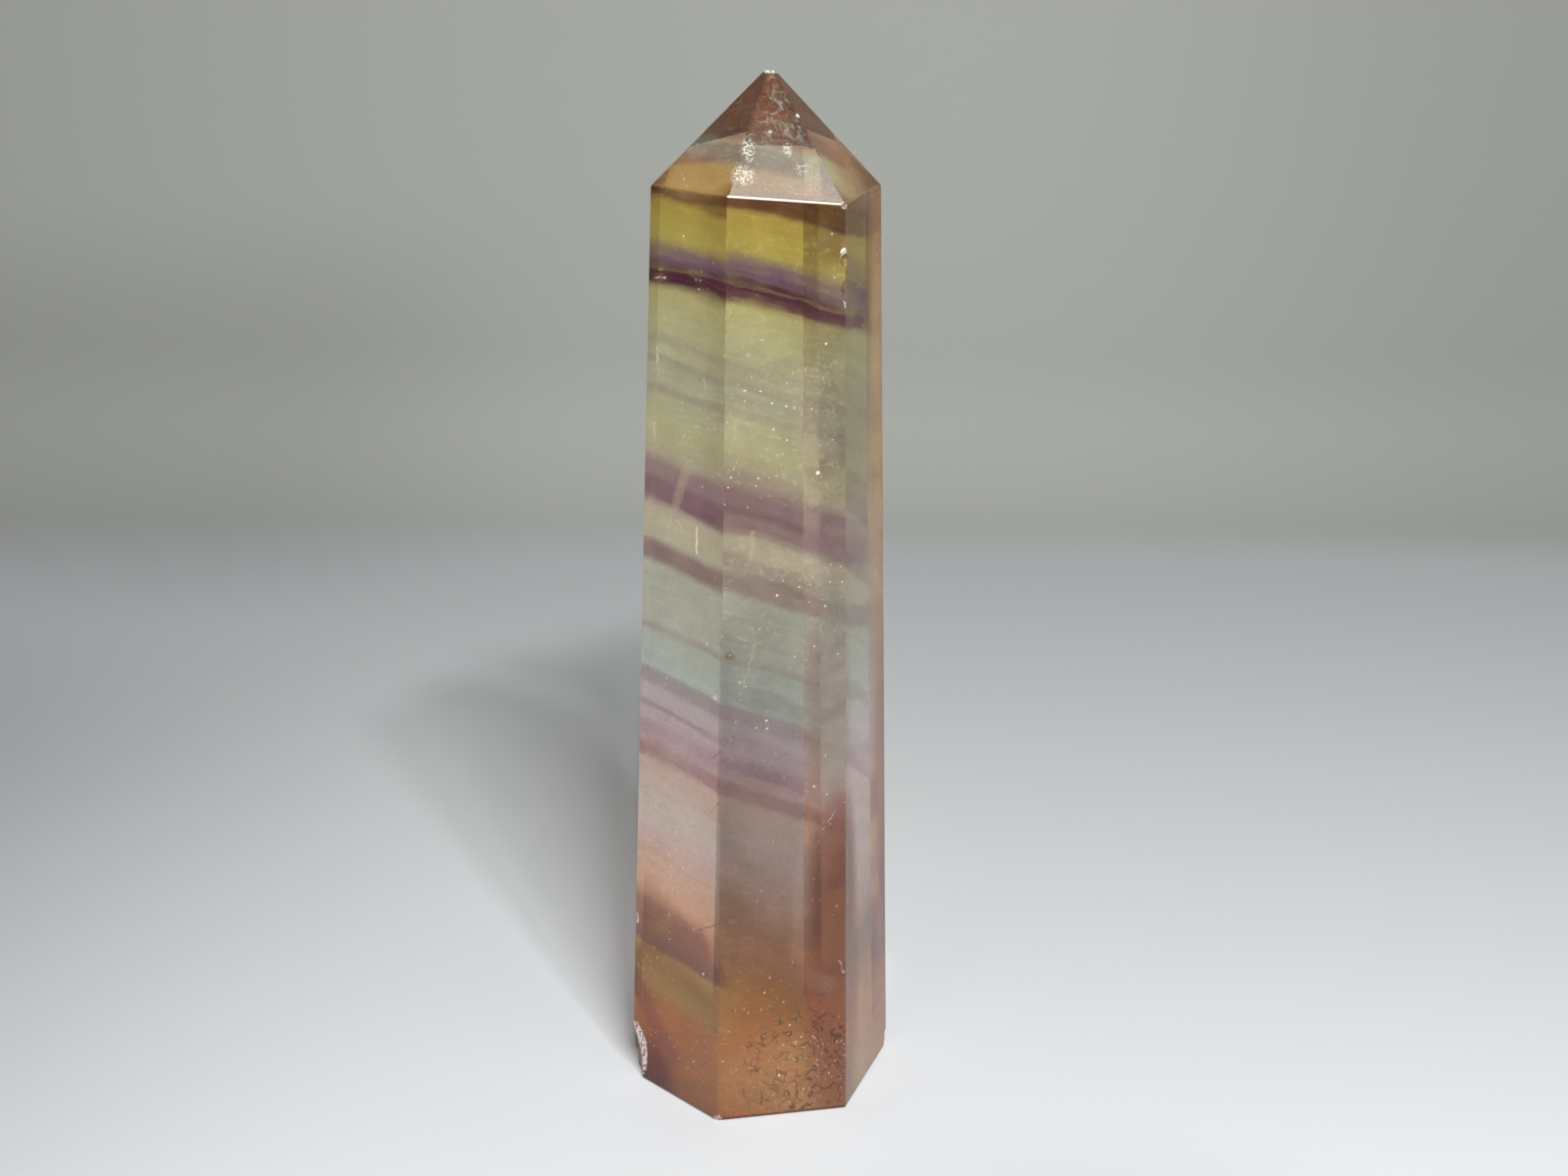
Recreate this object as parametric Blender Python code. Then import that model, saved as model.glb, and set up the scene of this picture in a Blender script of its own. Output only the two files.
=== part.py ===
"""A polished fluorite point: one six-sided, tapering stone ground to flat facets, with a six-sided cap.

Units are metres, +Z is up, and the stone stands on its flat foot at the origin. The front facet looks
along -Y. The facets are hand ground, so no two have quite the same angle, and the edges carry the
small chips that such a soft stone picks up.
"""

import math

import bmesh
import bpy
from mathutils import Vector, noise

MM = 0.001

# Driving dimensions of the stone
HEIGHT = 90.0 * MM  # from the foot to where the cap's edges would meet
SHOULDER_HEIGHT = 80.0 * MM  # where the sides end and the cap begins
FOOT_APOTHEM = 10.2 * MM  # from the axis to a side, at the foot
SIDE_LEAN = 1.45  # degrees that a side leans in from upright
TIP_OFFSET = Vector((0.30 * MM, -0.06 * MM))  # the cap's peak from the axis

# Each side in order round the stone: its compass angle in degrees, how far its foot line lies
# outside FOOT_APOTHEM, how much more it leans than SIDE_LEAN, and how much higher than
# SHOULDER_HEIGHT the corner is where it meets the side before it
SIDES = (
    ("front", -90.0, 0.10 * MM, 0.06, 0.37 * MM),
    ("front_right", -31.5, 0.09 * MM, -0.06, -0.31 * MM),
    ("back_right", 36.1, -0.17 * MM, 0.00, 0.25 * MM),
    ("back", 90.5, 0.01 * MM, -0.03, 0.01 * MM),
    ("back_left", 147.5, -0.35 * MM, -0.07, 0.10 * MM),
    ("front_left", -148.7, 0.21 * MM, 0.04, 0.50 * MM),
)

# The polish rounds the edges a little
EDGE_ROUNDING = 0.13 * MM
FOOT_ROUNDING = 0.22 * MM
ROUNDING_STEPS = 2

# Each chip: where it is struck, its height, how deep it bites, and the half sizes of its hollow
# outward, sideways and upward. A number is the corner where that side meets the one before it.
CHIPS = (
    ("foot_left", 5, 0.4 * MM, 0.95 * MM, (2.2 * MM, 3.0 * MM, 6.2 * MM)),
    ("foot_front_left", 0, 0.1 * MM, 0.22 * MM, (0.6 * MM, 0.9 * MM, 0.7 * MM)),
    ("foot_right", 2, 0.0 * MM, 0.45 * MM, (1.6 * MM, 2.2 * MM, 1.9 * MM)),
    ("nick_right", 2, 1.2 * MM, 0.30 * MM, (0.5 * MM, 0.8 * MM, 0.5 * MM)),
    ("nick_left", 5, 15.6 * MM, 0.20 * MM, (0.5 * MM, 0.7 * MM, 0.6 * MM)),
    ("edge_upper", 1, 75.3 * MM, 0.34 * MM, (0.7 * MM, 0.9 * MM, 0.8 * MM)),
    ("edge_lower", 1, 72.8 * MM, 0.22 * MM, (0.7 * MM, 0.8 * MM, 1.5 * MM)),
    ("shoulder_nick", 1, 79.6 * MM, 0.25 * MM, (0.6 * MM, 0.6 * MM, 0.4 * MM)),
)
TIP_BITE = 0.55 * MM
TIP_HOLLOW = (1.4 * MM, 1.2 * MM, 0.9 * MM)

HOLLOW_SUBDIVISIONS = 4  # of the round lump whose print a chip is
RIPPLE_HEIGHT = 0.09  # of the lump's half size
RIPPLE_SCALE = 2.2  # waves across the lump

STONE_COLOUR = (0.46, 0.30, 0.16, 1.0)
STONE_ROUGHNESS = 0.08
FLUORITE_IOR = 1.434
STONE_NAME = "fluorite_point"


def clear_scene():
    """Removes whatever the file opened with."""
    for old in list(bpy.data.objects):
        bpy.data.objects.remove(old)


def apothem_at(side, height):
    """Distance from the axis to a side at a height."""
    _, _, extra, more_lean, _ = side
    return FOOT_APOTHEM + extra - height * math.tan(math.radians(SIDE_LEAN + more_lean))


def corner_at(index, height):
    """The point at a height on the edge where side index meets the side before it."""
    one, two = SIDES[index], SIDES[index - 1]
    (a, b), (c, d) = (
        (math.cos(math.radians(s[1])), math.sin(math.radians(s[1]))) for s in (one, two)
    )
    near, far = apothem_at(one, height), apothem_at(two, height)
    turn = a * d - b * c
    return Vector(((near * d - far * b) / turn, (far * a - near * c) / turn, height))


def ground_stone():
    """The stone with all its facets and no rounding, as a bmesh."""
    bm = bmesh.new()
    count = len(SIDES)
    foot = [bm.verts.new(corner_at(i, 0.0)) for i in range(count)]
    shoulder = [
        bm.verts.new(corner_at(i, SHOULDER_HEIGHT + SIDES[i][4])) for i in range(count)
    ]
    peak = bm.verts.new((TIP_OFFSET.x, TIP_OFFSET.y, HEIGHT))
    bm.faces.new(reversed(foot))
    for i in range(count):
        after = (i + 1) % count
        bm.faces.new((foot[i], foot[after], shoulder[after], shoulder[i]))
        bm.faces.new((shoulder[i], shoulder[after], peak))
    bmesh.ops.recalc_face_normals(bm, faces=bm.faces)
    return bm


def round_edges(bm):
    """Rounds the foot's rim, then every other edge, as polishing leaves them."""
    rim = [e for e in bm.edges if all(v.co.z < EDGE_ROUNDING for v in e.verts)]
    others = [e for e in bm.edges if e not in set(rim)]
    for edges, width in ((rim, FOOT_ROUNDING), (others, EDGE_ROUNDING)):
        bmesh.ops.bevel(
            bm,
            geom=[e for e in edges if e.is_valid],
            offset=width,
            offset_type="OFFSET",
            segments=ROUNDING_STEPS,
            profile=0.5,
            affect="EDGES",
            clamp_overlap=True,
        )


def stone_material():
    """Clear, warm stone with a polished face."""
    material = bpy.data.materials.new(STONE_NAME)
    material.use_nodes = True
    shader = material.node_tree.nodes["Principled BSDF"]
    shader.inputs["Base Color"].default_value = STONE_COLOUR
    shader.inputs["Roughness"].default_value = STONE_ROUGHNESS
    shader.inputs["Metallic"].default_value = 0.0
    shader.inputs["IOR"].default_value = FLUORITE_IOR
    return material


def stone():
    """The whole stone as an object."""
    bm = ground_stone()
    round_edges(bm)
    mesh = bpy.data.meshes.new(STONE_NAME)
    bm.to_mesh(mesh)
    bm.free()
    mesh.materials.append(stone_material())
    body = bpy.data.objects.new(STONE_NAME, mesh)
    bpy.context.scene.collection.objects.link(body)
    return body


def rippled_lump(name, half_sizes, seed):
    """The rounded, rippled lump whose print a shell-like chip is."""
    bm = bmesh.new()
    bmesh.ops.create_icosphere(bm, subdivisions=HOLLOW_SUBDIVISIONS, radius=1.0)
    shift = Vector((seed * 3.7, seed * 1.9, seed * 5.3))
    for v in bm.verts:
        ripple = noise.noise(v.co * RIPPLE_SCALE + shift)
        v.co *= 1.0 + RIPPLE_HEIGHT * ripple
        v.co = Vector(c * half for c, half in zip(v.co, half_sizes))
    mesh = bpy.data.meshes.new(name)
    bm.to_mesh(mesh)
    bm.free()
    lump = bpy.data.objects.new(name, mesh)
    bpy.context.scene.collection.objects.link(lump)
    lump.hide_render = True
    lump.display_type = "WIRE"
    return lump


def strike_off(body, lump):
    """Takes the lump's print out of the stone, and keeps the lump with it as a guide."""
    lump.parent = body
    cut = body.modifiers.new(lump.name, "BOOLEAN")
    cut.operation = "DIFFERENCE"
    cut.object = lump
    cut.solver = "EXACT"


def chip_edges(body):
    """Strikes each chip off the edge that it is on, and blunts the tip."""
    for seed, (name, corner, height, bite, half_sizes) in enumerate(CHIPS, start=1):
        lump = rippled_lump("chip_" + name, half_sizes, seed)
        edge = corner_at(corner, height)
        outward = math.atan2(edge.y, edge.x)
        reach = Vector((edge.x, edge.y)).length + half_sizes[0] - bite
        lump.location = (reach * math.cos(outward), reach * math.sin(outward), height)
        lump.rotation_euler = (0.0, 0.0, outward)
        strike_off(body, lump)
    tip = rippled_lump("chip_tip", TIP_HOLLOW, len(CHIPS) + 1)
    tip.location = (
        TIP_OFFSET.x,
        TIP_OFFSET.y,
        HEIGHT - TIP_BITE + TIP_HOLLOW[2],
    )
    strike_off(body, tip)


def centre_on_origin(body):
    """Moves the stone so that the middle of its box stands over the origin."""
    bpy.context.view_layer.update()
    worn = body.evaluated_get(bpy.context.evaluated_depsgraph_get())
    corners = [Vector(c) for c in worn.bound_box]
    middle = sum(corners, Vector()) / len(corners)
    body.location.x -= middle.x
    body.location.y -= middle.y


def main():
    clear_scene()
    body = stone()
    chip_edges(body)
    centre_on_origin(body)


main()
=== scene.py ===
"""Looks of a polished fluorite point: a clear, faceted stone with arched growth bands all through it.

Metres, +Z up, the stone's foot on z = 0. The patterns of the stone are worked out in millimetres.
"""

import math

import bpy
from mathutils import Matrix, Vector

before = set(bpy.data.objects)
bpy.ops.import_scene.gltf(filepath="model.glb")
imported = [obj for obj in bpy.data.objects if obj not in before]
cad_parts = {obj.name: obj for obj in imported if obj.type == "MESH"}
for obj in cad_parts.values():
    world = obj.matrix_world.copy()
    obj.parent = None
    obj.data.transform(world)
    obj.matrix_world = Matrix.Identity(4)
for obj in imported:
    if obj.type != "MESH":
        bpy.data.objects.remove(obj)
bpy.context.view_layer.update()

MM = 0.001
STONE = "fluorite_point"
FLUORITE_IOR = 1.434

# The photograph's viewpoint
CAMERA_PLACE = Vector((-36.5, -175.5, 100.3)) * MM
CAMERA_HEADING = 77.72  # degrees from +X
CAMERA_DIP = 16.94  # degrees below level
CAMERA_ROLL = 0.57
CAMERA_LENS = 49.5  # on a 36 mm wide sensor

# The table and the sweep behind it
SWEEP_START = 0.185  # from the stone to where the floor starts to rise
SWEEP_RADIUS = 0.10
SWEEP_STEPS = 24
SWEEP_HALF_WIDTH = 0.6
FLOOR_REACH = 0.5  # towards the camera
WALL_HEIGHT = 0.6
# The sweep is one sheet of paper; the wall's darker colour is painted shade
FLOOR_COLOUR = (0.73, 0.75, 0.77)
WALL_COLOUR = (0.62, 0.635, 0.59)

# The lights
LIT_SPOT = Vector((0.02, -0.10, 0.0))  # where every lamp points
LAMP_RING_MIDDLE = Vector((0.0, 0.0, 0.045))
LAMP_DISTANCE = 0.36
LAMP_SIZE = 0.022
# Each lamp's compass angle, its angle above level, and its power in watts
LAMPS = (
    (-78.5, 43.4, 0.33),
    (-84.0, 41.0, 0.28),
    (-88.0, 40.3, 0.20),
    (-91.5, 39.5, 0.28),
    (-95.5, 39.0, 0.37),
    (-100.8, 38.5, 0.58),
)
ROOM_COLOUR = (0.92, 0.96, 1.0, 1.0)
ROOM_LIGHT = 0.035


class Pattern:
    """A socket of a material. Arithmetic on it adds Math nodes."""

    def __init__(self, tree, socket):
        self.tree = tree
        self.socket = socket

    def maths(self, operation, a, b):
        return node(self.tree, "Math", {"operation": operation}, {0: a, 1: b})

    def __add__(self, other):
        return self.maths("ADD", self, other)

    def __radd__(self, other):
        return self.maths("ADD", other, self)

    def __sub__(self, other):
        return self.maths("SUBTRACT", self, other)

    def __rsub__(self, other):
        return self.maths("SUBTRACT", other, self)

    def __mul__(self, other):
        return self.maths("MULTIPLY", self, other)

    def __rmul__(self, other):
        return self.maths("MULTIPLY", other, self)

    def __truediv__(self, other):
        return self.maths("DIVIDE", self, other)

    def __pow__(self, other):
        return self.maths("POWER", self, other)

    def or_more(self, other):
        return self.maths("MAXIMUM", self, other)

    def or_less(self, other):
        return self.maths("MINIMUM", self, other)


def node(tree, kind, settings=None, inputs=None, output=0):
    """Adds a node, sets it up, feeds its sockets, and returns one of its outputs, or several."""
    made = tree.nodes.new("ShaderNode" + kind)
    for name, value in (settings or {}).items():
        if name == "stops":
            set_stops(made.color_ramp, value)
        else:
            setattr(made, name, value)
    for name, value in (inputs or {}).items():
        if isinstance(value, Pattern):
            tree.links.new(value.socket, made.inputs[name])
        else:
            made.inputs[name].default_value = value
    if output is None:
        return [Pattern(tree, socket) for socket in made.outputs]
    return Pattern(tree, made.outputs[output])


def set_stops(ramp, stops):
    """Gives a ramp its (place, colour) stops."""
    while len(ramp.elements) < len(stops):
        ramp.elements.new(1.0)
    for element, (place, colour) in zip(ramp.elements, stops):
        element.position = place
        element.color = (*colour, 1.0)


def step(tree, value, low, high):
    """0 below low and 1 above high, or the other way round if low is the greater."""
    if low > high:
        return 1.0 - step(tree, value, high, low)
    return node(
        tree,
        "MapRange",
        {"interpolation_type": "SMOOTHSTEP"},
        {"Value": value, "From Min": low, "From Max": high},
    )


def noise(tree, place, scale, detail=2.0, roughness=0.5, distortion=0.0, kind="FBM"):
    """Noise about 0.5 at a place, with scale features per unit."""
    return node(
        tree,
        "TexNoise",
        {"noise_type": kind},
        {
            "Vector": place,
            "Scale": scale,
            "Detail": detail,
            "Roughness": roughness,
            "Distortion": distortion,
        },
    )


def mix(tree, share, one, two, blend="MIX"):
    """A colour that goes from one to two as share goes from 0 to 1."""
    one, two = (c if isinstance(c, Pattern) else (*c, 1.0) for c in (one, two))
    return node(
        tree,
        "Mix",
        {"data_type": "RGBA", "blend_type": blend},
        {0: share, 6: one, 7: two},
        output=2,
    )


def new_material(name):
    """An empty material, and its node tree."""
    material = bpy.data.materials.new(name)
    material.use_nodes = True
    material.node_tree.nodes.clear()
    return material, material.node_tree


# Body colours of the stone from the foot up: height in mm, and the colour that light takes on
# when it has gone in and out of the stone there
BODY = (
    (-6.0, (0.42, 0.10, 0.05)),
    (-2.8, (0.66, 0.17, 0.06)),
    (-1.5, (0.84, 0.36, 0.14)),
    (1.5, (0.88, 0.46, 0.19)),
    (4.0, (0.86, 0.46, 0.20)),
    (5.6, (1.0, 0.69, 0.27)),
    (8.6, (1.0, 0.60, 0.23)),
    (14.5, (1.0, 0.57, 0.36)),
    (18.5, (0.96, 0.66, 0.53)),
    (21.0, (0.98, 0.75, 0.70)),
    (23.0, (0.98, 0.84, 0.75)),
    (25.5, (0.98, 0.74, 0.65)),
    (27.5, (1.0, 0.73, 0.60)),
    (30.5, (0.90, 0.68, 0.74)),
    (34.0, (0.92, 0.78, 0.78)),
    (36.5, (0.80, 0.92, 0.82)),
    (41.0, (0.84, 0.86, 0.72)),
    (45.5, (0.84, 0.86, 0.68)),
    (50.0, (1.0, 0.88, 0.62)),
    (54.5, (0.94, 0.78, 0.66)),
    (58.5, (1.0, 0.96, 0.56)),
    (63.0, (0.92, 0.90, 0.66)),
    (67.5, (1.0, 0.96, 0.56)),
    (70.5, (1.0, 0.92, 0.42)),
    (75.5, (1.0, 0.80, 0.20)),
    (77.5, (0.96, 0.72, 0.17)),
    (79.6, (0.66, 0.32, 0.15)),
    (80.9, (0.76, 0.46, 0.26)),
    (82.2, (0.92, 0.98, 0.84)),
    (83.1, (0.92, 0.96, 0.80)),
    (83.8, (0.76, 0.47, 0.36)),
    (88.0, (0.68, 0.40, 0.26)),
)

# Dark seams between them: lowest and highest edge in mm, the softness of each edge, tint, strength,
# and from which x to which x in mm the seam dies out, if it does
SEAMS = (
    (10.2, 13.0, 0.9, 2.6, (0.34, 0.12, 0.11), 1.0, (-6.9, -5.0)),
    (10.1, 11.2, 0.7, 0.9, (0.32, 0.14, 0.15), 0.7, (-6.6, -4.0)),
    (28.0, 28.8, 0.5, 0.9, (0.52, 0.24, 0.28), 0.7, None),
    (30.2, 31.0, 0.8, 0.8, (0.62, 0.38, 0.46), 0.4, None),
    (32.8, 32.95, 0.2, 0.4, (0.42, 0.26, 0.26), 0.65, (-7.0, -4.0)),
    (35.2, 36.0, 0.9, 0.5, (0.58, 0.40, 0.44), 0.6, None),
    (40.1, 40.3, 0.2, 0.5, (0.58, 0.40, 0.38), 0.45, None),
    (46.6, 47.6, 0.9, 0.9, (0.46, 0.24, 0.26), 0.75, None),
    (52.1, 53.2, 1.1, 1.0, (0.34, 0.15, 0.24), 0.8, None),
    (52.8, 55.0, 0.9, 1.2, (0.52, 0.30, 0.34), 0.65, None),
    (61.4, 61.7, 0.3, 0.5, (0.60, 0.46, 0.40), 0.4, None),
    (63.9, 64.2, 0.4, 0.5, (0.60, 0.48, 0.42), 0.35, None),
    (65.7, 66.0, 0.4, 0.6, (0.60, 0.48, 0.42), 0.3, None),
    (71.2, 71.8, 1.0, 0.5, (0.18, 0.05, 0.10), 1.0, None),
    (72.3, 72.7, 0.5, 0.6, (0.22, 0.08, 0.12), 0.9, None),
    (72.8, 73.5, 0.6, 1.3, (0.38, 0.22, 0.36), 0.8, None),
    (78.3, 79.7, 0.5, 0.8, (0.26, 0.11, 0.06), 0.9, None),
)
PATTERN_LOW = -6.0
PATTERN_HIGH = 94.0


# Parts of the stone with a tint of their own: middle and half sizes in mm, tint, strength
ZONES = (
    ((9.0, -4.5, 20.0), (4.2, 6.5, 24.0), (1.0, 0.88, 0.84), 0.6),
    ((9.6, -0.4, 76.0), (3.4, 5.0, 12.0), (0.86, 0.40, 0.13), 0.9),
    ((10.0, -0.2, 56.0), (3.4, 5.0, 24.0), (0.98, 0.64, 0.32), 0.85),
    ((8.0, -3.0, 82.2), (4.8, 5.4, 3.6), (0.58, 0.29, 0.11), 0.85),
    ((-7.2, -4.4, 81.4), (4.4, 4.8, 2.0), (1.0, 0.62, 0.28), 0.8),
    ((-9.0, -4.5, 29.0), (4.0, 6.0, 6.0), (1.0, 0.86, 0.72), 0.4),
    ((11.2, -0.8, 22.0), (3.2, 4.4, 25.0), (0.72, 0.34, 0.27), 0.85),
    ((4.0, -9.3, 38.0), (2.4, 1.8, 12.0), (0.54, 0.51, 0.42), 0.75),
    ((-8.0, -7.0, 2.6), (5.0, 5.6, 6.4), (0.66, 0.28, 0.11), 0.75),
    ((12.2, -2.0, 2.0), (6.0, 9.0, 8.0), (1.0, 0.56, 0.34), 0.6),
    ((0.4, -11.0, 6.0), (6.6, 5.0, 11.0), (0.82, 0.40, 0.17), 0.7),
    ((5.4, -10.2, 13.5), (4.35, 4.6, 18.0), (0.50, 0.19, 0.10), 0.92),
    ((4.7, -9.9, 22.0), (3.3, 4.0, 9.5), (0.24, 0.08, 0.05), 0.8),
    ((-10.9, -2.0, 1.2), (3.0, 4.6, 4.6), (0.24, 0.05, 0.08), 0.9),
)

# Streaks of colour low on the left: both ends in mm, half width in mm, tint, strength
STREAKS = (
    ((-12.2, 0.2, 10.2), (-9.3, -4.9, 3.8), 1.7, (0.42, 0.17, 0.17), 0.85),
    ((-5.4, -9.9, 15.6), (3.4, -9.9, 12.2), 1.5, (0.80, 0.46, 0.37), 0.3),
)

# Cloudy parts: middle and half sizes in mm, how cloudy
CLOUDS = (
    ((5.0, -10.2, 18.0), (4.2, 4.0, 14.0), 0.42),
    ((-8.0, -6.0, 10.0), (5.0, 6.0, 7.0), 0.08),
    ((-9.0, -4.0, 64.0), (4.0, 5.6, 24.0), 0.13),
    ((11.4, -0.4, 20.0), (2.4, 3.2, 26.0), 0.30),
    ((7.2, -3.6, 82.2), (4.6, 5.0, 4.0), 0.12),
    ((9.4, -1.8, 62.0), (2.2, 3.6, 20.0), 0.16),
    ((0.0, -10.2, 0.0), (16.0, 12.0, 8.5), 0.42),
)

# Chips with a white, crushed skin: middle and half sizes in mm of a lump that holds the skin,
# its turn about the upright in degrees, and how white it is
CHIPS = (
    ((-12.60, -0.90, 2.4), (1.5, 1.8, 3.0), -150.0, 0.8),
    ((-6.25, -10.60, 0.1), (0.6, 0.9, 0.7), -119.9, 0.35),
    ((13.23, 0.30, 0.0), (1.6, 2.2, 1.9), 1.2, 0.4),
    ((12.25, 0.28, 1.2), (0.5, 0.8, 0.5), 1.2, 0.4),
    ((-11.92, -0.37, 15.6), (0.5, 0.7, 0.6), -178.1, 0.6),
    ((4.83, -8.55, 75.6), (0.55, 0.6, 0.75), -59.8, 1.0),
    ((4.90, -8.67, 72.6), (0.45, 0.5, 1.3), -59.9, 1.0),
    ((4.81, -8.48, 79.6), (0.6, 0.6, 0.4), -59.8, 0.6),
    # The tip's chip: its white skin is spread wider so that it also paints in the tip's highlight
    ((0.16, -0.04, 90.35), (1.45, 1.25, 1.0), 0.0, 1.0),
)

# Scratches, and painted glints that stand in for highlights: both ends in mm, half width in mm, how white
SCRATCHES_AND_GLINTS = (
    ((-7.03, -6.04, 53.0), (-7.05, -6.12, 50.9), 0.20, 0.9),
    ((-9.6, -0.8, 73.1), (-8.8, -2.1, 73.3), 0.14, 0.8),
    ((-9.47, -1.31, 67.2), (-9.48, -1.34, 66.2), 0.20, 0.7),
    ((-9.74, -1.17, 61.1), (-9.76, -1.21, 59.6), 0.12, 0.5),
    ((-6.40, -6.43, 65.9), (-6.41, -6.47, 64.8), 0.14, 0.5),
    ((-7.64, -4.80, 57.8), (-8.38, -3.74, 54.5), 0.75, 0.22),
    ((-2.6, -9.12, 43.8), (-4.0, -9.24, 39.3), 0.09, 0.3),
    ((3.33, -9.57, 26.8), (4.46, -9.52, 28.6), 0.08, 0.25),
    ((4.9, -9.90, 14.3), (5.2, -9.93, 13.2), 0.12, 0.26),
    ((8.3, -3.76, 46.0), (5.5, -8.59, 41.5), 0.10, 0.35),
    ((8.3, -4.22, 36.2), (5.8, -8.70, 28.1), 0.10, 0.3),
    ((-9.62, -1.15, 65.4), (-9.69, -1.32, 59.7), 0.10, 0.45),
    ((-7.80, -4.04, 67.7), (-7.0, -5.30, 67.6), 0.10, 0.5),
    ((-2.9, -8.86, 53.2), (-3.1, -8.92, 50.8), 0.30, 0.16),
    ((-8.7, -3.64, 44.2), (-7.4, -5.8, 43.6), 0.11, 0.5),
    ((-4.9, -9.11, 44.5), (-3.4, -9.11, 44.1), 0.09, 0.3),
)

# Dark cracks, in the same way, with how dark in place of how white
CRACKS = (
    ((3.2, -8.80, 55.8), (4.8, -8.77, 57.1), 0.13, 0.8),
    ((-6.3, -8.50, 28.7), (-5.7, -9.45, 30.0), 0.12, 0.4),
    ((-6.2, -8.43, 33.6), (-5.6, -9.31, 34.3), 0.16, 0.5),
    ((-0.9, -9.39, 33.5), (-0.1, -9.38, 33.9), 0.14, 0.5),
    ((-7.1, -7.70, 17.4), (-5.7, -9.92, 18.9), 0.16, 0.5),
    ((2.5, -10.05, 8.7), (4.0, -10.03, 9.5), 0.16, 0.6),
    ((2.9, -10.06, 8.1), (3.0, -10.11, 6.4), 0.14, 0.6),
    ((-2.0, -10.18, 3.5), (-0.4, -10.22, 2.0), 0.13, 0.5),
    ((-3.9, -10.20, 3.0), (-3.1, -10.26, 0.8), 0.12, 0.5),
)

# Bright specks, most of them painted glints and sparkles: middle and radius in mm, how white
GLINTS_AND_SPECKS = (
    ((2.54, -8.75, 58.0), 0.24, 0.7),
    ((-0.84, -9.02, 47.8), 0.15, 0.6),
    ((-0.52, -10.17, 3.9), 0.15, 0.6),
    ((3.12, -8.47, 68.6), 0.15, 0.6),
    ((-7.64, -3.84, 76.8), 0.16, 0.9),
    ((1.85, -3.05, 86.2), 0.28, 1.0),
    ((-0.70, -4.17, 85.0), 0.24, 0.45),
    ((-6.91, -8.22, 13.4), 0.18, 0.7),
    ((-5.93, -8.54, 39.0), 0.36, 0.45),
    ((-4.93, -8.77, 57.1), 0.10, 0.6),
    ((-6.60, -6.50, 56.7), 0.15, 0.7),
    ((-6.41, -7.53, 43.4), 0.15, 0.7),
)
# Crumbly white patches on the cap's front facet, partly frosted skin and partly painted sheen: middle and
# half sizes in mm, how white
PATCHES = (
    ((-2.7, -5.3, 83.7), (0.8, 1.6, 1.9), 0.58),
    ((-3.4, -6.9, 81.9), (1.5, 1.3, 1.6), 0.62),
    ((0.5, -5.2, 83.8), (0.6, 0.9, 1.4), 0.5),
    ((1.4, -6.3, 82.3), (1.0, 1.0, 1.3), 0.38),
)
RUST_SPECK = ((-4.85, -9.15, 42.8), 0.55)

CAP_EDGE_HIGHLIGHT = ((-4.85, -8.12, 80.42), (4.60, -8.20, 79.66))  # the edge below the cap's front facet, where a thin white line is a painted highlight
CAP_FRONT_FACING = (0.045, -0.775, 0.631)  # the way that the cap's front facet looks


def place_in_mm(tree):
    """The point being shaded in mm from the middle of the foot, and its three parts."""
    metres = node(tree, "TexCoord", output=3)
    place = node(tree, "VectorMath", {"operation": "SCALE"}, {0: metres, "Scale": 1.0 / MM})
    return place, node(tree, "SeparateXYZ", inputs={0: place}, output=None)


def band_height(tree, place, x, y, z):
    """Height in mm that a point's band has on the stone's axis: the bands are arched and sloping."""
    slope = 0.52 - 0.0035 * z
    lean = (0.12 - 0.001 * z) * (y + 9.0)
    drift = noise(tree, place, 0.10, 1.0) - 0.5
    waves = noise(tree, place, 0.5, 1.0, 0.55) - 0.5
    return z + slope * x + 0.005 * x * x + lean - 0.45 + 1.2 * drift + 0.5 * waves


def along_bands(tree, x, y, height, squash, stretch):
    """Place for a pattern that runs along the bands: squash across them, stretch along them."""
    return node(tree, "CombineXYZ", inputs={0: x * stretch, 1: y * stretch, 2: height * squash})


def lump_reach(tree, place, middle, half_sizes, turn=0.0):
    """1 on the skin of a rounded lump, less inside it and more outside."""
    if turn:
        place = node(
            tree,
            "VectorRotate",
            {"rotation_type": "Z_AXIS"},
            {"Vector": place, "Center": middle, "Angle": -math.radians(turn)},
        )
    offset = node(tree, "VectorMath", {"operation": "SUBTRACT"}, {0: place, 1: middle})
    offset = node(tree, "VectorMath", {"operation": "DIVIDE"}, {0: offset, 1: half_sizes})
    return node(tree, "VectorMath", {"operation": "LENGTH"}, {0: offset}, output=1)


def grey(tree, value):
    """A value as a colour."""
    return node(tree, "CombineColor", inputs={0: value, 1: value, 2: value})


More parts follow.
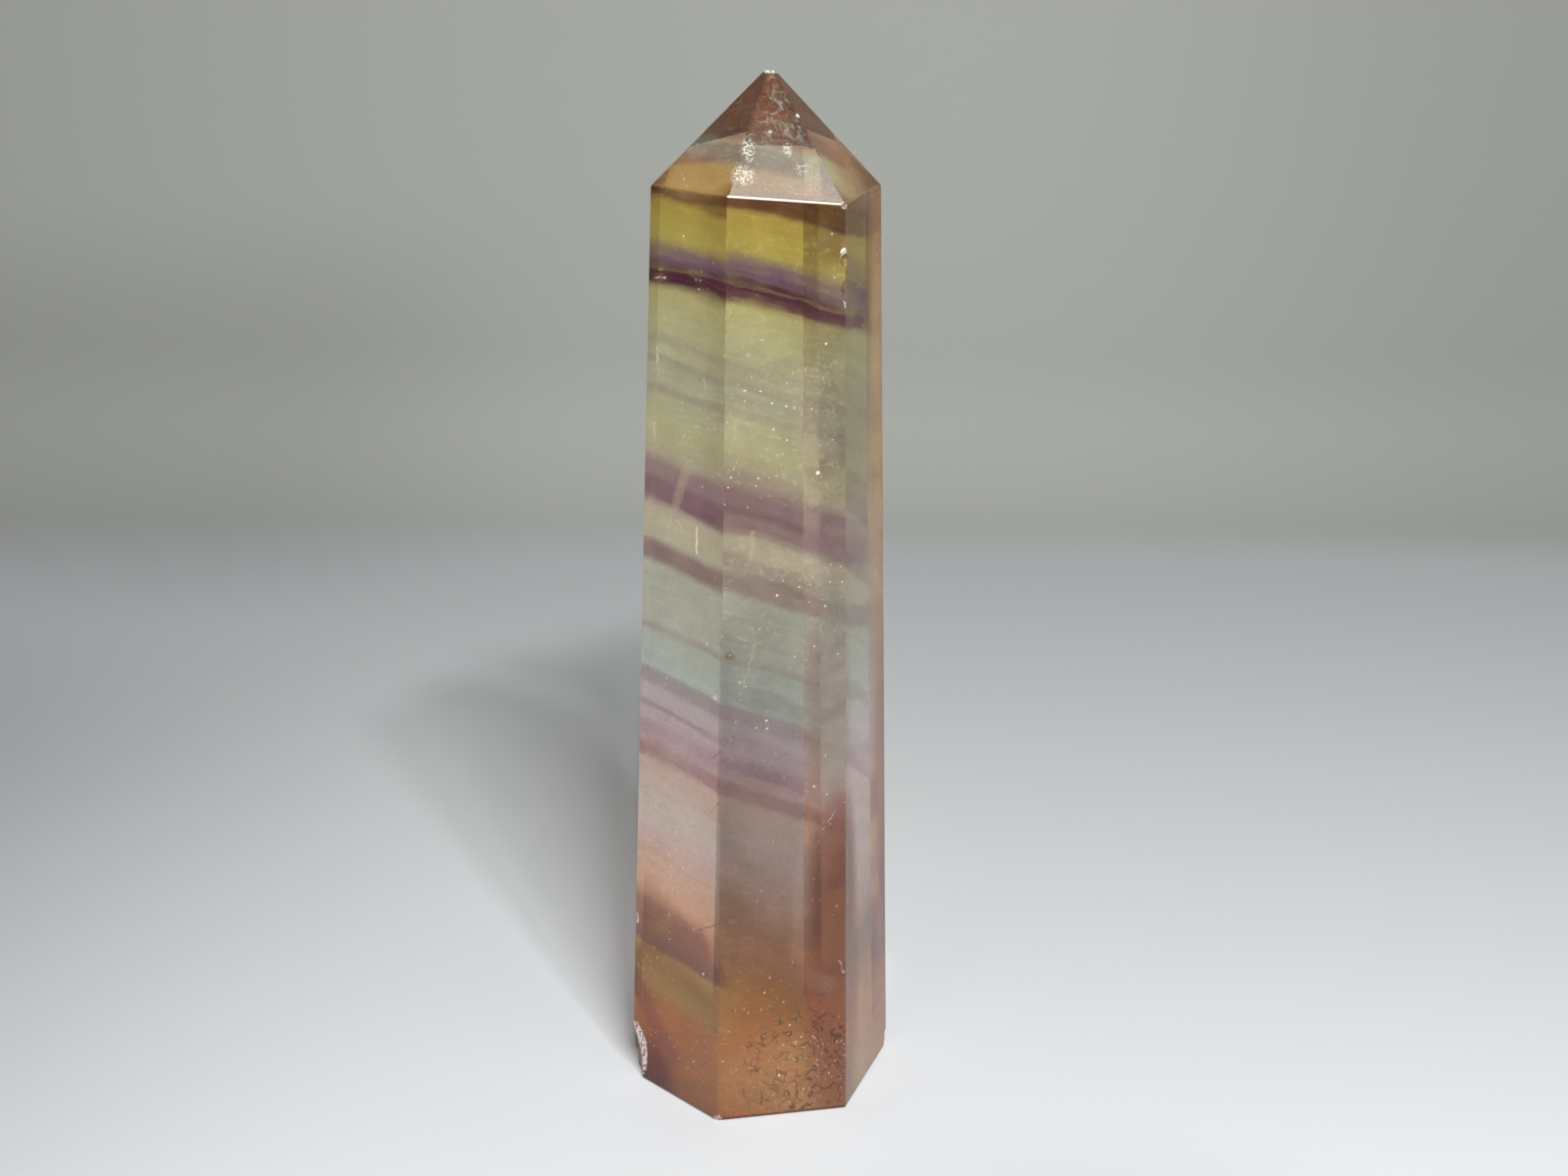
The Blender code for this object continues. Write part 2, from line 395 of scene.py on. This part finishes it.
def body_colour(tree, place, x, y, z):
    """The tint of the clear stone: growth bands, dark seams, fine layers and tinted zones."""
    height = band_height(tree, place, x, y, z)
    lamina = noise(tree, along_bands(tree, x, y, height, 1.6, 0.10), 1.0, 3.0, 0.6) - 0.5
    height = height + 0.8 * lamina
    reach = PATTERN_HIGH - PATTERN_LOW
    stops = [((h - PATTERN_LOW) / reach, colour) for h, colour in BODY]
    colour = node(tree, "ValToRGB", {"stops": stops}, {0: (height - PATTERN_LOW) / reach})
    layers = noise(tree, along_bands(tree, x, y, height, 4.2, 0.20), 1.0, 3.0, 0.7)
    patchy = (0.55 + 0.9 * noise(tree, place, 0.35, 1.0, 0.6)) * (0.45 + 1.1 * layers)
    for low, high, soft_low, soft_high, tint, strength, dies_out in SEAMS:
        over = step(tree, height, low - soft_low, low)
        under = step(tree, height, high + soft_high, high)
        share = over * under * patchy * strength
        if dies_out:
            share = share * step(tree, x, dies_out[1], dies_out[0])
        colour = mix(tree, share, colour, tint)
    for middle, half_sizes, tint, strength in ZONES:
        near = step(tree, lump_reach(tree, place, middle, half_sizes), 1.15, 0.55)
        colour = mix(tree, near * strength, colour, tint)
    for start, end, half_width, tint, strength in STREAKS:
        near = stroke(tree, place, start, end, half_width)
        colour = mix(tree, near * strength, colour, tint)
    mottle = noise(tree, place, 0.9, 2.0, 0.6)
    shade = 1.0 + 0.55 * (layers - 0.5) + 0.24 * (mottle - 0.5)
    return height, mix(tree, 1.0, colour, grey(tree, shade), "MULTIPLY")


def stroke(tree, place, start, end, half_width):
    """1 along the middle of a straight mark, and 0 from half_width away."""
    run = Vector(end) - Vector(start)
    offset = node(tree, "VectorMath", {"operation": "SUBTRACT"}, {0: place, 1: start})
    along = run / run.length_squared
    share = node(tree, "VectorMath", {"operation": "DOT_PRODUCT"}, {0: offset, 1: along}, output=1)
    share = node(tree, "Clamp", inputs={0: share})
    nearest = node(tree, "VectorMath", {"operation": "SCALE"}, {0: run, "Scale": share})
    away = node(tree, "VectorMath", {"operation": "DISTANCE"}, {0: offset, 1: nearest}, output=1)
    return step(tree, away, half_width, 0.3 * half_width)


def speck(tree, place, middle, radius):
    """1 in the middle of a round spot, and 0 from its radius on."""
    away = node(tree, "VectorMath", {"operation": "DISTANCE"}, {0: place, 1: middle}, output=1)
    return step(tree, away, radius, 0.4 * radius)


def highest(shares):
    """The greatest of several shares at each point. Each share's nodes are made as it is reached."""
    top = None
    for share in shares:
        top = share if top is None else top.or_more(share)
    return top


def low_front(tree, place):
    """1 low on the front facet, where a net of cracks is."""
    return step(tree, lump_reach(tree, place, (1.3, -10.2, 5.2), (6.6, 2.6, 8.0)), 1.0, 0.6)


def frost_and_painted_highlights(tree, place, frayed, z):
    """How white and rough the skin is: chips, scratches and specks, with painted glints among them, a
    painted highlight along the edge under the cap, and a painted sheen on the cap's front facet.
    """
    crumbs = noise(tree, place, 3.2, 2.0, 0.7)
    chipped = highest(
        whiteness * step(tree, lump_reach(tree, frayed, middle, half_sizes, turn), 1.18, 1.04)
        for middle, half_sizes, turn, whiteness in CHIPS
    )
    top = chipped * step(tree, crumbs, 0.34, 0.56)
    scratches_and_glints = highest(
        0.8 * whiteness * stroke(tree, frayed, start, end, half_width)
        for start, end, half_width, whiteness in SCRATCHES_AND_GLINTS
    )
    top = top.or_more(scratches_and_glints)
    # A painted highlight: a thin white line along the edge below the cap's front facet
    top = top.or_more(0.8 * stroke(tree, place, *CAP_EDGE_HIGHLIGHT, 0.14))
    glinting = highest(
        whiteness * speck(tree, place, middle, radius) for middle, radius, whiteness in GLINTS_AND_SPECKS
    )
    top = top.or_more(glinting)
    # Pale flecks in the net of cracks low on the front: painted glints along the cracks
    flecks = noise(tree, place, 3.4, 1.0, 0.5)
    top = top.or_more(0.18 * step(tree, flecks, 0.68, 0.74) * low_front(tree, place))
    grit = step(tree, noise(tree, place, 4.6, 1.0, 0.8), 0.44, 0.56)
    crumbly = highest(
        whiteness * step(tree, lump_reach(tree, place, middle, half_sizes), 1.0, 0.3)
        for middle, half_sizes, whiteness in PATCHES
    )
    top = top.or_more(crumbly * grit)
    # Fine white specks over patches of the skin: partly dust, partly painted glints
    dust_and_glints = node(tree, "TexVoronoi", {"feature": "F1"}, {"Vector": place, "Scale": 1.4}, output=0)
    where_dust_and_glints = step(tree, noise(tree, place, 0.16, 1.0, 0.6), 0.42, 0.62)
    where_dust_and_glints = where_dust_and_glints * step(tree, crumbs, 0.42, 0.60)
    top = top.or_more(0.7 * where_dust_and_glints * step(tree, dust_and_glints, 0.17, 0.07))
    facing = node(tree, "TexCoord", output=1)
    facing = node(
        tree,
        "VectorMath",
        {"operation": "DOT_PRODUCT"},
        {0: facing, 1: CAP_FRONT_FACING},
        output=1,
    )
    # Painted sheen on the cap's front facet, strongest at its bottom edge
    painted_sheen = 0.24 * step(tree, z, 85.0, 80.4)
    feathers = noise(tree, frayed, 0.75, 3.0, 0.75, 1.5)
    veil = 0.20 * step(tree, feathers, 0.50, 0.62) * step(tree, z, 83.7, 84.7)
    return top.or_more(step(tree, facing, 0.975, 0.99) * (painted_sheen + veil) * (0.6 + 0.8 * crumbs))


def cracks_and_painted_rim_shade(tree, place, frayed, y, z):
    """How dark the cracks are, with a net of short curled ones low on the front, and a painted shade line
    along the foot's front rim.
    """
    top = highest(
        darkness * stroke(tree, frayed, start, end, half_width)
        for start, end, half_width, darkness in CRACKS
    )
    curls = node(tree, "TexNoise", inputs={"Vector": place, "Scale": 0.7, "Detail": 1.0}, output=1)
    curled = node(
        tree,
        "VectorMath",
        {"operation": "MULTIPLY_ADD"},
        {0: curls, 1: (5.0, 5.0, 5.0), 2: place},
    )
    cells = node(
        tree,
        "TexVoronoi",
        {"feature": "DISTANCE_TO_EDGE"},
        {"Vector": curled, "Scale": 0.5},
    )
    broken = step(tree, noise(tree, place, 0.9, 1.0), 0.40, 0.54)
    top = top.or_more(0.7 * step(tree, cells, 0.08, 0.02) * broken * low_front(tree, place))
    # Painted shade: a dark line along the foot's front rim, where the stone meets the table
    return top.or_more(0.8 * step(tree, z, 0.42, 0.20) * step(tree, y, 0.0, -3.0))


def haze(tree, place, z):
    """How cloudy the stone is under its skin: most at the rusty side and at the foot."""
    cloud = noise(tree, place, 0.22, 2.0, 0.6)
    grain = noise(tree, place, 2.6, 1.0, 0.7)
    share = 0.09 + 0.09 * step(tree, cloud, 0.38, 0.75) + 0.10 * step(tree, grain, 0.55, 0.72)
    for middle, half_sizes, strength in CLOUDS:
        near = step(tree, lump_reach(tree, place, middle, half_sizes), 1.2, 0.4)
        share = share + strength * near
    sawn = 0.9 * step(tree, z, 0.12, 0.02)
    return share.or_more(sawn)


def banded_fluorite():
    """Clear stone with a little milkiness, coloured bands all through it, crumbled white chips, painted
    glints, a painted sheen on the cap and a painted shade line at the foot's front rim.
    """
    material, tree = new_material("banded_fluorite")
    place, (x, y, z) = place_in_mm(tree)
    fray = node(tree, "TexNoise", inputs={"Vector": place, "Scale": 1.8, "Detail": 2.0}, output=1)
    fray = node(tree, "VectorMath", {"operation": "SUBTRACT"}, {0: fray, 1: (0.5, 0.5, 0.5)})
    frayed = node(
        tree,
        "VectorMath",
        {"operation": "MULTIPLY_ADD"},
        {0: fray, 1: (0.5, 0.5, 0.5), 2: place},
    )
    height, colour = body_colour(tree, place, x, y, z)
    white = frost_and_painted_highlights(tree, place, frayed, z)
    dark = cracks_and_painted_rim_shade(tree, place, frayed, y, z)
    rust = speck(tree, frayed, *RUST_SPECK)
    colour = mix(tree, 0.8 * rust, colour, (0.50, 0.26, 0.10))
    # Cracks, and the painted shade line at the foot's front rim, go nearly black
    colour = mix(tree, dark, colour, (0.05, 0.02, 0.015))
    colour = mix(tree, 0.5 * step(tree, z, 0.12, 0.02), colour, (0.95, 0.60, 0.34))
    share = highest([haze(tree, place, z), white, 0.9 * dark])
    # The colour of the white skin and of the painted glints and sheen: greener high on the cap, and
    # golden on the left side, where the painted glints carry a reflected golden tint
    skin_and_glint_colour = mix(tree, step(tree, z, 81.2, 83.6), (0.90, 0.80, 0.70), (0.82, 0.84, 0.70))
    golden_glint_side = step(tree, x, 0.0, -3.0) * step(tree, z, 24.0, 40.0) * step(tree, z, 80.0, 78.0)
    skin_and_glint_colour = mix(tree, 0.8 * golden_glint_side, skin_and_glint_colour, (1.0, 0.80, 0.48))
    pale = 0.44 + 0.30 * step(tree, z, 24.0, 52.0) + 0.5 * step(tree, z, 0.12, 0.02)
    deep = mix(tree, 1.0, colour, grey(tree, pale), "MULTIPLY")
    glass = node(
        tree,
        "BsdfPrincipled",
        inputs={
            "Base Color": colour,
            "Transmission Weight": 1.0,
            "IOR": FLUORITE_IOR,
            "Roughness": 0.06,
        },
    )
    milk = node(
        tree,
        "BsdfPrincipled",
        inputs={
            "Base Color": mix(tree, white / share, deep, skin_and_glint_colour),
            "Roughness": 0.25 + 0.4 * white,
        },
    )
    surface = node(tree, "MixShader", inputs={0: share, 1: glass, 2: milk})
    absorption = node(
        tree,
        "VolumeAbsorption",
        inputs={"Color": (0.70, 0.58, 0.52, 1.0), "Density": 28.0},
    )
    node(tree, "OutputMaterial", inputs={"Surface": surface, "Volume": absorption}, output=None)
    return material


def paper_with_painted_light():
    """Matt paper, cooler and paler where it lies flat than where it rises, the darker rise being painted
    shade; more painted light and shade make it darker to the left and towards the camera, and lighter far
    to the left, at the foot of the wall and just behind the stone.
    """
    material, tree = new_material("pale_floor")
    metres = node(tree, "TexCoord", output=3)
    across, back, up = node(tree, "SeparateXYZ", inputs={0: metres}, output=None)
    # The rising part gets the darker paper colour: painted shade
    paper = mix(tree, step(tree, back, SWEEP_START - 0.02, SWEEP_START + 0.01), FLOOR_COLOUR, WALL_COLOUR)
    # Painted shade on the floor to the left of the stone, and painted light far to the left, out of view
    left = step(tree, across, -0.03, -0.13) * step(tree, back, 0.16, 0.06)
    far_left = step(tree, across, -0.20, -0.34) * step(tree, back, -0.20, -0.10)
    far_left = far_left * step(tree, back, 0.05, -0.02)
    dim = 1.0 - 0.36 * left + 0.8 * far_left
    # Painted shade on the floor before the stone, more of it on the left and towards the camera, and in a
    # round spot just in front of the stone
    front = step(tree, back, -0.02, -0.05) * step(tree, across, -0.30, -0.17)
    dim = dim * (1.0 - 0.35 * front - 0.42 * step(tree, back, -0.08, -0.18))
    dim = dim * (1.0 - 0.15 * speck(tree, metres, (0.027, -0.052, 0.0), 0.045))
    # Painted shade on the right of the wall, and painted light along the foot of the wall
    wall = step(tree, back, SWEEP_START - 0.02, SWEEP_START + 0.01)
    dim = dim * (1.0 - 0.12 * wall * step(tree, across, 0.03, 0.16))
    dim = dim * (1.0 + 0.12 * wall * step(tree, up, 0.022, 0.006))
    # Painted shade low on the left of the rise
    rise_left = step(tree, across, -0.03, -0.10) * step(tree, back, 0.12, 0.17)
    dim = dim * (1.0 - 0.14 * rise_left * step(tree, up, 0.05, 0.02))
    # A painted pool of light on the floor just behind the stone, hidden from the camera and seen through
    # the stone
    dim = dim * (1.0 + 0.3 * speck(tree, metres, (0.0, 0.018, 0.0), 0.015))
    paper = mix(tree, 1.0, paper, grey(tree, dim), "MULTIPLY")
    surface = node(tree, "BsdfPrincipled", inputs={"Base Color": paper, "Roughness": 0.8})
    node(tree, "OutputMaterial", inputs={"Surface": surface}, output=None)
    return material


def make_sweep():
    """Floor, curved rise and wall as one sheet, square to the camera's heading."""
    profile = [Vector((0.0, -FLOOR_REACH, 0.0))]
    for i in range(SWEEP_STEPS + 1):
        turn = math.radians(90.0 * i / SWEEP_STEPS)
        profile.append(
            Vector(
                (
                    0.0,
                    SWEEP_START + SWEEP_RADIUS * math.sin(turn),
                    SWEEP_RADIUS * (1.0 - math.cos(turn)),
                )
            )
        )
    profile.append(Vector((0.0, SWEEP_START + SWEEP_RADIUS, WALL_HEIGHT)))
    side = Vector((SWEEP_HALF_WIDTH, 0.0, 0.0))
    verts = [p + s for p in profile for s in (-side, side)]
    faces = [(2 * i, 2 * i + 1, 2 * i + 3, 2 * i + 2) for i in range(len(profile) - 1)]
    mesh = bpy.data.meshes.new("sweep")
    mesh.from_pydata(verts, [], faces)
    mesh.shade_smooth()
    mesh.materials.append(paper_with_painted_light())
    sweep = bpy.data.objects.new("sweep", mesh)
    sweep.location.z = -0.03 * MM
    sweep.rotation_euler = (0.0, 0.0, math.radians(CAMERA_HEADING - 90.0))
    bpy.context.scene.collection.objects.link(sweep)


def area_light(name, place, size, power, colour=(1.0, 1.0, 1.0)):
    """A round soft light at a place that shines at the table just in front of the stone."""
    lamp = bpy.data.lights.new(name, "AREA")
    lamp.shape = "DISK"
    lamp.size = size
    lamp.energy = power
    lamp.color = colour
    light = bpy.data.objects.new(name, lamp)
    light.location = place
    light.rotation_euler = (place - LIT_SPOT).to_track_quat("Z", "Y").to_euler()
    bpy.context.scene.collection.objects.link(light)


def make_lights():
    """A row of small lamps in front, whose shadows fan out behind the stone, in a dim room."""
    for number, (compass, rise, power) in enumerate(LAMPS, start=1):
        compass, rise = math.radians(compass), math.radians(rise)
        level = math.cos(rise)
        towards = Vector((level * math.cos(compass), level * math.sin(compass), math.sin(rise)))
        area_light(f"lamp_{number}", LAMP_RING_MIDDLE + LAMP_DISTANCE * towards, LAMP_SIZE, power)
    world = bpy.data.worlds.new("room")
    world.use_nodes = True
    room = world.node_tree.nodes["Background"]
    room.inputs["Color"].default_value = ROOM_COLOUR
    room.inputs["Strength"].default_value = ROOM_LIGHT
    bpy.context.scene.world = world


def make_camera():
    lens = bpy.data.cameras.new("camera")
    lens.lens = CAMERA_LENS
    lens.sensor_width = 36.0
    lens.clip_start = 0.01
    camera = bpy.data.objects.new("camera", lens)
    turn = (
        Matrix.Rotation(math.radians(CAMERA_HEADING - 90.0), 4, "Z")
        @ Matrix.Rotation(math.radians(90.0 - CAMERA_DIP), 4, "X")
        @ Matrix.Rotation(math.radians(CAMERA_ROLL), 4, "Z")
    )
    camera.matrix_world = Matrix.Translation(CAMERA_PLACE) @ turn
    bpy.context.scene.collection.objects.link(camera)
    bpy.context.scene.camera = camera


def main():
    make_camera()
    make_lights()
    make_sweep()
    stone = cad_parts[STONE]
    stone.data.materials.clear()
    stone.data.materials.append(banded_fluorite())
    bpy.context.scene.view_settings.view_transform = "Standard"


main()
